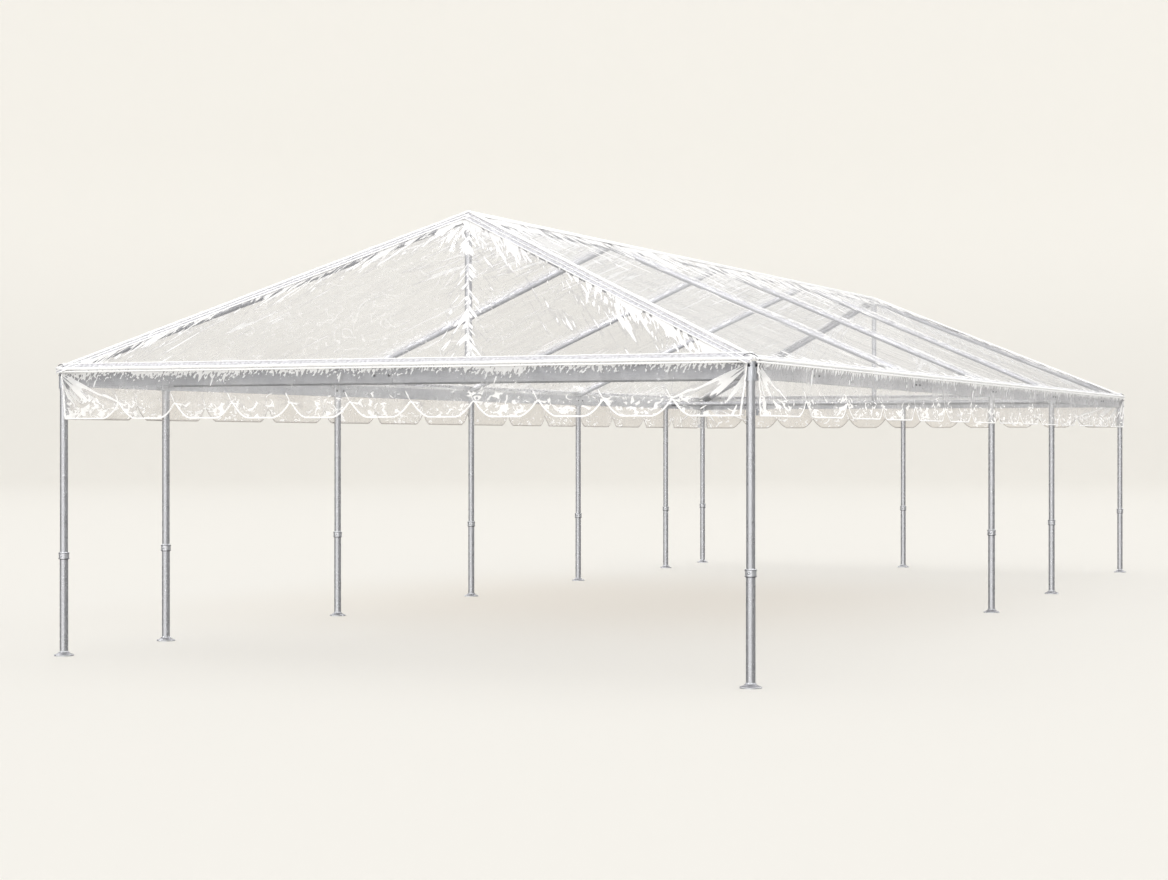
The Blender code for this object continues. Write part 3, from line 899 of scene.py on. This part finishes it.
def make_corner_vinyl(film, edging, dark, steel):
    """Turned-back valance ends, their eyelets and clips, and an elastic loop over each corner."""
    flaps, edges, eyelets, clips, loops = [], [], [], [], []
    heights = np.linspace(EAVE_Z - 0.030, HEM_Z + 0.004, 15)
    slit = np.linspace(CORNER_SLIT_TOP, CORNER_SLIT_FOOT, len(heights))
    for x_side, y_side in CORNERS:
        for on_end in (True, False):
            grid = flap_grid(x_side, y_side, on_end, heights, slit)
            flaps.append((grid.reshape(-1, 3), grid_faces(*grid.shape[:2])))
            rim = np.concatenate([grid[-1, ::-1], grid[:-1, 0][::-1]])
            edges.append(sweep(rim, (x_side * 0.7, y_side * 0.7, 0.0), tape_profile(0.006, HEM_THICK)))
        for height in EYELET_HEIGHTS:
            back = np.interp(-height, -heights, slit) + 0.012
            at = (x_side * (ROOF_X + 0.001), y_side * (ROOF_Y - back), height)
            eyelets.append(turned_at(EYELET, at, (x_side, 0, 0), 14))
        clip = Vector((x_side * (LEG_X + 0.034), y_side * (LEG_Y - 0.048), HEM_Z + 0.026))
        clips.append(block(clip, (0.016, 0.010, 0.044)))
        clips.append(block(clip + Vector((x_side * 0.009, 0, 0)), (0.006, 0.016, 0.016)))
        loops.append(sweep(corner_loop(x_side, y_side), (0, 0, 1), round_profile(0.003, 6)))
    add_piece("corner_flaps", *joined(flaps), film, "clear_valance_vinyl")
    add_piece("corner_flap_edges", *joined(edges), edging, "clear_valance_vinyl")
    add_piece("corner_eyelets", *joined(eyelets), dark, "cast_fittings")
    add_piece("corner_clips", *joined(clips), steel, "cast_fittings", smooth=False)
    add_piece("corner_loops", *joined(loops), dark, "cast_fittings")


def corner_loop(x_side, y_side):
    """The path of an elastic loop that crosses the roof's corner from one piping to the other."""
    corners = [(2.962, 7.628, 2.392), (2.985, 7.622, 2.405), (3.012, 7.614, 2.407), (3.036, 7.600, 2.398)]
    corners += [(3.054, 7.582, 2.384), (3.066, 7.568, 2.362)]
    return [(x_side * x, y_side * y, z) for x, y, z in corners]


def block(centre, size):
    """A small plate with its long edges cut at a slant."""
    sx, sy, sz = (part / 2 for part in size)
    outline = [(-sx, -sy * 0.6), (-sx * 0.6, -sy), (sx * 0.6, -sy), (sx, -sy * 0.6)]
    outline += [(-x, -y) for x, y in outline]
    points = [(centre[0] + x, centre[1] + y, centre[2] + z) for z in (-sz, sz) for x, y in outline]
    return points, tube_faces(2, len(outline))


def turned_at(profile, centre, axis, sides=20, wobble=0.0):
    """A solid of revolution. profile is (radius, height) from one end to the other."""
    turn = Vector(axis).to_track_quat("Z", "Y").to_matrix()
    points = []
    for radius, height in profile:
        for k in range(sides):
            angle = 2 * math.pi * k / sides
            ring = radius * (1 + wobble * math.sin(5 * angle + 40 * height))
            local = Vector((ring * math.cos(angle), ring * math.sin(angle), height))
            points.append(tuple(Vector(centre) + turn @ local))
    return points, tube_faces(len(profile), sides)


def bolt_at(centre, axis, size):
    """A washer with a hexagon head on it."""
    washer = turned_at([(size * 1.25, 0.0), (size * 1.25, 0.0016), (size * 1.1, 0.0022)], centre, axis, 16)
    lift = Vector(axis).normalized() * 0.002
    head_profile = [(size * 0.92, 0.0), (size * 0.92, 0.006), (size * 0.74, 0.0078)]
    head = turned_at(head_profile, Vector(centre) + lift, axis, 6)
    return [washer, head]


def leg_places():
    left = [(-LEG_X, y) for y in LEFT_LEG_Y]
    right = [(LEG_X, y) for y in RIGHT_LEG_Y]
    return [*left, *right, (0.0, LEG_Y)]


# Turned shapes at each leg, as (radius, height above the ground)
FLANGE = [
    (PLATE_R - 0.004, PLATE_T - 0.0005),
    (PLATE_R - 0.006, PLATE_T + 0.0020),
    (0.066, PLATE_T + 0.0048),
    (0.053, PLATE_T + 0.0095),
    (RING_R + 0.0028, PLATE_T + 0.0160),
    (RING_R + 0.0006, RING_TOP - 0.003),
    (RING_R - 0.002, RING_TOP - 0.001),
]
FOOT_WELD = [
    (LOWER_R - 0.001, RING_TOP - 0.001),
    (LOWER_R + 0.005, RING_TOP + 0.0008),
    (LOWER_R + 0.0042, RING_TOP + 0.0035),
    (LOWER_R + 0.0005, RING_TOP + 0.006),
    (LOWER_R - 0.001, RING_TOP + 0.006),
]
COLLAR_CUFF = [
    (UPPER_R + 0.0001, COLLAR_TOP - 0.001),
    (COLLAR_R - 0.004, COLLAR_TOP - 0.001),
    (COLLAR_R - 0.0055, COLLAR_TOP + 0.003),
    (UPPER_R + 0.0015, COLLAR_TOP + 0.005),
    (UPPER_R + 0.0001, COLLAR_TOP + 0.005),
]
# Turned fasteners, as (radius, height over the surface they sit on)
BUTTON = [(0.0085, 0.0), (0.0085, 0.0035), (0.006, 0.0062), (0.0, 0.0068)]
BUTTON_SEAT = [(0.0105, 0.0), (0.0105, 0.0022)]
EYELET = [(0.0075, 0.0), (0.0075, 0.0028), (0.0048, 0.0040), (0.0036, 0.0020)]
EYELET_HEIGHTS = (2.315, 2.235, 2.120)


def make_leg_details(flange_metal, dark_steel, bright_steel):
    flanges, welds, buttons, seats = [], [], [], []
    for x, y in leg_places():
        foot = (x, y, 0.0)
        flanges.append(turned_at(FLANGE, foot, (0, 0, 1), 40))
        welds.append(turned_at(FOOT_WELD, foot, (0, 0, 1), 48, 0.02))
        welds.append(turned_at(COLLAR_CUFF, foot, (0, 0, 1), 40))
        middle = Vector((x, y, (COLLAR_BOTTOM + COLLAR_TOP) / 2))
        for face in ((0, -1, 0), (0, 1, 0)):
            at = middle + Vector(face) * (COLLAR_R - 0.0045)
            buttons.append(turned_at(BUTTON, at, face, 16))
            seats.append(turned_at(BUTTON_SEAT, at, face, 18))
    add_piece("foot_flanges", *joined(flanges), flange_metal, "tube_aluminium")
    add_piece("leg_welds", *joined(welds), bright_steel, "tube_aluminium")
    add_piece("collar_buttons", *joined(buttons), bright_steel, "cast_fittings")
    add_piece("collar_button_seats", *joined(seats), dark_steel, "cast_fittings")


def make_fasteners(dark_steel):
    """Hexagon bolts through the corner sockets and beam splices."""
    parts = []
    half = SPLICE_WIDTH / 2
    for x_side, y_side in CORNERS:
        x, y = x_side * LEG_X, y_side * LEG_Y
        for axis in ((x_side, 0, 0), (0, y_side, 0)):
            at = Vector((x, y, BEAM_TOP - 0.020)) + Vector(axis) * (CORNER_SOCKET_R - 0.0008)
            parts += bolt_at(at, axis, SOCKET_BOLT_SIZE)
        for shift in (0.075, 0.145):
            beside_x = (x - x_side * half, y - y_side * shift, BEAM_MID)
            beside_y = (x - x_side * shift, y - y_side * half, BEAM_MID)
            parts += bolt_at(beside_x, (-x_side, 0, 0), BOLT_SIZE)
            parts += bolt_at(beside_y, (0, -y_side, 0), BOLT_SIZE)
    for face in (-1, 1):
        for shift in (-0.065, 0.065):
            for x_side in (-1, 1):
                for y in SPLICE_STATIONS:
                    at = (x_side * LEG_X + face * half, y + shift, BEAM_MID)
                    parts += bolt_at(at, (face, 0, 0), BOLT_SIZE)
            for y_side in (-1, 1):
                at = (shift, y_side * LEG_Y + face * half, BEAM_MID)
                parts += bolt_at(at, (0, face, 0), BOLT_SIZE)
    add_piece("frame_bolts", *joined(parts), dark_steel, "cast_fittings", smooth=False)


def round_off_cad(obj):
    """Shades a carried-over solid smoothly, leaving its sharp edges sharp."""
    weld = obj.modifiers.new("weld", "WELD")
    weld.merge_threshold = 0.00001
    obj.data.shade_smooth()
    split = obj.modifiers.new("creases", "EDGE_SPLIT")
    split.split_angle = math.radians(32)


def dress_frame():
    grey, pale = (0.69, 0.69, 0.70), (0.76, 0.76, 0.77)
    upright = metal("satin_tube_upright", grey, pale, (260.0, 260.0, 5.0), 0.28, grain=0.05, collared=True)
    post = metal("satin_king_post", (0.60, 0.60, 0.62), (0.76, 0.76, 0.78), (260.0, 260.0, 5.0), 0.34)
    sloped = metal("satin_tube_roof", (0.64, 0.64, 0.67), (0.80, 0.80, 0.83), (90.0, 60.0, 90.0), 0.40)
    lengthways = metal("satin_beam_side", (0.76, 0.76, 0.77), (0.88, 0.88, 0.89), (260.0, 5.0, 260.0), 0.42)
    # Painted shade: the end eave beams and the tie beams take a much darker copy of the beam metal than the
    # side beams.
    shaded_crossways = metal("satin_beam_end", (0.33, 0.33, 0.34), (0.45, 0.45, 0.46), (5.0, 260.0, 260.0), 0.42)
    cast = casting("cast_corner", (0.56, 0.57, 0.59), (0.76, 0.77, 0.79), sleeve=(0.33, 0.33, 0.34))
    for name, obj in FRAME["nodes"].items():
        if "leg" in name:
            chosen = upright
        elif "king_post" in name:
            chosen = post
        elif "corner_fitting" in name:
            chosen = cast
        elif name in ("left_eave_beam", "right_eave_beam"):
            chosen = lengthways
        elif "eave_beam" in name or "tie_beam" in name:
            chosen = shaded_crossways
        else:
            chosen = sloped
        obj.data.materials.clear()
        obj.data.materials.append(chosen)
        round_off_cad(obj)


def dress_vinyl(dark_steel, bright_steel):
    tape = trim_vinyl("seam_tape", (0.74, 0.74, 0.78), 0.60, (30.0, 30.0, 30.0), 0.3)
    piping = trim_vinyl("white_piping", (0.97, 0.975, 0.985), 1.0, (60.0, 60.0, 60.0), 0.35)
    hem = trim_vinyl("bound_hem", (0.97, 0.97, 0.975), 1.0, (50.0, 50.0, 50.0), 0.35)
    # Painted shade: the back of the bound hem is a darker, browner copy of the hem, for its inner side that
    # faces away from the light.
    hem_back_shade = trim_vinyl("bound_hem_back", (0.56, 0.53, 0.50), 1.0, (50.0, 50.0, 50.0), 0.45)
    end_film, side_film = end_roof_vinyl(), side_roof_vinyl()
    # Painted shade: the rear and left valances take a darker, browner tint and fewer white flecks than the
    # front and right ones, as they are seen from inside under the roof.
    sides = {
        "front": (False, -1, END_SCALLOPS, 211, (0.98, 0.98, 0.98), 0.88),
        "rear": (False, 1, END_SCALLOPS, 331, (0.85, 0.82, 0.79), 0.90),
        "left": (True, -1, SIDE_SCALLOPS, 457, (0.85, 0.82, 0.79), 0.90),
        "right": (True, 1, SIDE_SCALLOPS, 587, (0.98, 0.975, 0.975), 0.88),
    }
    for name, (along_y, side, count, seed, tint, fleck_level) in sides.items():
        obj = roof_sheet(f"{name}_roof_sheet", along_y, side, side_film if along_y else end_film)
        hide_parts(f"{name}_roof_panel")
        skirt = skirt_vinyl(f"clear_skirt_film_{name}", tint, along_y, fleck_level)
        make_valance(name, along_y, side, count, seed, skirt, hem, hem_back_shade)
        eave_trim(name, along_y, side, tape, piping)
    for end, y_side in (("front", -1), ("rear", 1)):
        for side, x_side in (("left", -1), ("right", 1)):
            hip_trim(f"{end}_{side}_hip", x_side, y_side, tape, piping)
    ridge_trim(tape, piping)
    flap = trim_vinyl("clear_flap_film", (0.80, 0.80, 0.81), 0.32, (14.0, 14.0, 40.0), 0.2)
    make_corner_vinyl(flap, hem, dark_steel, bright_steel)


def make_stage():
    """A round seamless cove, so that every direction shows the same plain backdrop."""
    profile = [(radius, 0.0) for radius in (0.0, 6.0, 12.0, 24.0, 45.0, FLOOR_R)]
    steps = 12
    for step in range(1, steps + 1):
        angle = math.pi / 2 * step / steps
        profile.append((FLOOR_R + COVE_BEND * math.sin(angle), COVE_BEND * (1 - math.cos(angle))))
    profile.append((FLOOR_R + COVE_BEND, WALL_TOP))
    sides = 96
    points, faces = [(0.0, 0.0, 0.0)], []
    for radius, height in profile[1:]:
        for k in range(sides):
            angle = 2 * math.pi * k / sides
            points.append((radius * math.cos(angle), radius * math.sin(angle), height))
    for k in range(sides):
        faces.append((0, 1 + k, 1 + (k + 1) % sides))
    for row in range(len(profile) - 2):
        for k in range(sides):
            a, b = 1 + row * sides + k, 1 + row * sides + (k + 1) % sides
            faces.append((a, a + sides, b + sides, b))
    mesh = bpy.data.meshes.new("studio_cove")
    mesh.from_pydata(points, [], faces)
    mesh.materials.append(stage_paint("studio_paint"))
    mesh.shade_smooth()
    cove = bpy.data.objects.new("studio_cove", mesh)
    bpy.context.scene.collection.objects.link(cove)
    cove.visible_glossy = False


# Soft boxes near the horizon: azimuth from the front, elevation, half width and half height in degrees,
# and strength
LOW_BOXES = [
    (-14.0, 24.0, 5.0, 9.0, 5.0),
    (30.0, 26.0, 6.0, 12.0, 5.0),
    (-75.0, 34.0, 8.0, 9.0, 5.0),
    (88.0, 34.0, 8.0, 9.0, 5.0),
    (158.0, 30.0, 10.0, 4.0, 4.0),
    (-165.0, 32.0, 12.0, 4.0, 4.0),
    (-128.0, 32.0, 8.0, 6.0, 5.0),
    (125.0, 32.0, 8.0, 6.0, 5.0),
]
# Strips on a ceiling at unit height, in a ring round the point overhead: centre x, centre y, half sizes
CEILING_BOXES = [
    (0.95, 0.0, 0.07, 0.85),
    (-0.95, 0.0, 0.07, 0.85),
    (0.0, 0.72, 0.80, 0.06),
    (0.0, -0.72, 0.80, 0.06),
]
CEILING_STRENGTH = 7.0


def low_box(tree, azimuth, elevation, box):
    around, up, half_width, half_height, strength = box
    turned_by = maths(tree, "SUBTRACT", azimuth, around)
    wrapped = node(tree, "ShaderNodeMath", {0: turned_by, 1: 180.0, 2: -180.0}, operation="WRAP").outputs[0]
    beside = remap(tree, maths(tree, "ABSOLUTE", wrapped), half_width * 0.8, half_width * 1.2, 1.0, 0.0)
    above = gap(tree, elevation, up)
    level = remap(tree, above, half_height * 0.8, half_height * 1.2, 1.0, 0.0)
    return product(tree, beside, level, strength)


def ceiling_box(tree, across, along, box):
    x, y, half_x, half_y = box
    inside_x = remap(tree, gap(tree, across, x), half_x, half_x + 0.03, 1.0, 0.0)
    inside_y = remap(tree, gap(tree, along, y), half_y, half_y + 0.03, 1.0, 0.0)
    return product(tree, inside_x, inside_y, CEILING_STRENGTH)


def shiny_glow(tree):
    """What shiny surfaces pick up: a dark horizon with a bright front, a paler sky and the soft boxes."""
    direction = node(tree, "ShaderNodeTexCoord").outputs["Generated"]
    x, y, z = axes_of(tree, direction)
    degrees = 180 / math.pi
    elevation = product(tree, maths(tree, "ARCSINE", z), degrees)
    frontwards = product(tree, y, -1.0)
    azimuth = product(tree, maths(tree, "ARCTAN2", x, frontwards), degrees)
    low = remap(tree, z, 0.05, 0.24, HORIZON_GLOW, LOW_SKY_GLOW)
    high = remap(tree, z, 0.35, 0.80, 0.0, OVERHEAD_GLOW - LOW_SKY_GLOW)
    front = remap(tree, frontwards, 0.45, 1.0, 0.0, FRONT_GLOW)
    height = maths(tree, "MAXIMUM", z, 0.05)
    across, along = maths(tree, "DIVIDE", x, height), maths(tree, "DIVIDE", y, height)
    boxes = [low_box(tree, azimuth, elevation, box) for box in LOW_BOXES]
    boxes += [ceiling_box(tree, across, along, box) for box in CEILING_BOXES]
    return total(tree, low, high, front, *boxes)


def make_world():
    """Even soft light, with soft boxes that only shiny surfaces pick up."""
    world = bpy.data.worlds.new("studio")
    bpy.context.scene.world = world
    world.use_nodes = True
    world.cycles.sampling_method = "NONE"
    tree = world.node_tree
    tree.nodes.clear()
    cool, warm = (0.99, 0.992, 1.0, 1.0), (1.0, 0.998, 0.994, 1.0)
    shiny = node(tree, "ShaderNodeBackground", {"Color": cool, "Strength": shiny_glow(tree)})
    even = node(tree, "ShaderNodeBackground", {"Color": warm, "Strength": SKY_LIGHT})
    path = node(tree, "ShaderNodeLightPath").outputs["Is Glossy Ray"]
    mixed = mix_shaders(tree, path, even.outputs[0], shiny.outputs[0])
    output = node(tree, "ShaderNodeOutputWorld")
    tree.links.new(mixed, output.inputs["Surface"])


def towards(azimuth, elevation):
    """A direction from the tent. azimuth is from the front round to the right, in degrees."""
    around, up = math.radians(azimuth), math.radians(elevation)
    return Vector((math.sin(around) * math.cos(up), -math.cos(around) * math.cos(up), math.sin(up)))


def add_light(name, light, azimuth, elevation, distance):
    light.color = (1.0, 0.995, 0.985)
    lamp = bpy.data.objects.new(name, light)
    direction = towards(azimuth, elevation)
    lamp.location = direction * distance
    lamp.rotation_euler = direction.to_track_quat("Z", "Y").to_euler()
    bpy.context.scene.collection.objects.link(lamp)
    lamp.visible_glossy = False
    lamp.visible_camera = False
    return lamp


def add_softbox(name, light_on_tent, azimuth, elevation, receivers):
    """A wide soft box well away from the tent, kept off the floor and wall so that they stay even."""
    light = bpy.data.lights.new(name, "AREA")
    light.shape = "RECTANGLE"
    light.size, light.size_y = BOX_WIDTH, BOX_HEIGHT
    light.energy = math.pi * light_on_tent * BOX_DISTANCE**2
    lamp = add_light(name, light, azimuth, elevation, BOX_DISTANCE)
    lamp.light_linking.receiver_collection = receivers


def make_lights():
    overhead = bpy.data.lights.new("overhead_light", "SUN")
    overhead.angle = math.radians(70.0)
    overhead.energy = OVERHEAD_LIGHT
    add_light("overhead_light", overhead, -120.0, 76.0, 20.0)
    receivers = bpy.data.collections.new("tent_only")
    for obj in bpy.data.objects:
        if obj.type == "MESH" and obj.name != "studio_cove":
            receivers.objects.link(obj)
    add_softbox("front_softbox", FRONT_LIGHT, 42.0, 32.0, receivers)
    add_softbox("rear_softbox", REAR_LIGHT, 205.0, 20.0, receivers)


def make_camera():
    data = bpy.data.cameras.new("camera")
    data.sensor_width = 36.0
    data.lens = CAMERA_LENS
    data.clip_end = 500.0
    camera = bpy.data.objects.new("camera", data)
    camera.location = CAMERA_AT
    camera.rotation_euler = (math.radians(90.0), 0.0, CAMERA_TURN)
    bpy.context.scene.collection.objects.link(camera)
    bpy.context.scene.camera = camera


dark_steel = casting("dark_bolt_steel", (0.03, 0.03, 0.035), (0.10, 0.10, 0.11))
bright_steel = casting("bright_steel", (0.50, 0.51, 0.53), (0.74, 0.75, 0.77))
flange_metal = metal("satin_flange", (0.20, 0.20, 0.21), (0.30, 0.30, 0.31), (90.0, 90.0, 90.0), 0.46)
dress_frame()
make_leg_details(flange_metal, dark_steel, bright_steel)
make_fasteners(dark_steel)
dress_vinyl(dark_steel, bright_steel)
make_stage()
make_world()
make_lights()
make_camera()
scene = bpy.context.scene
scene.view_settings.view_transform = "Standard"
scene.cycles.transparent_max_bounces = 20
scene.cycles.diffuse_bounces = 3
scene.cycles.glossy_bounces = 2
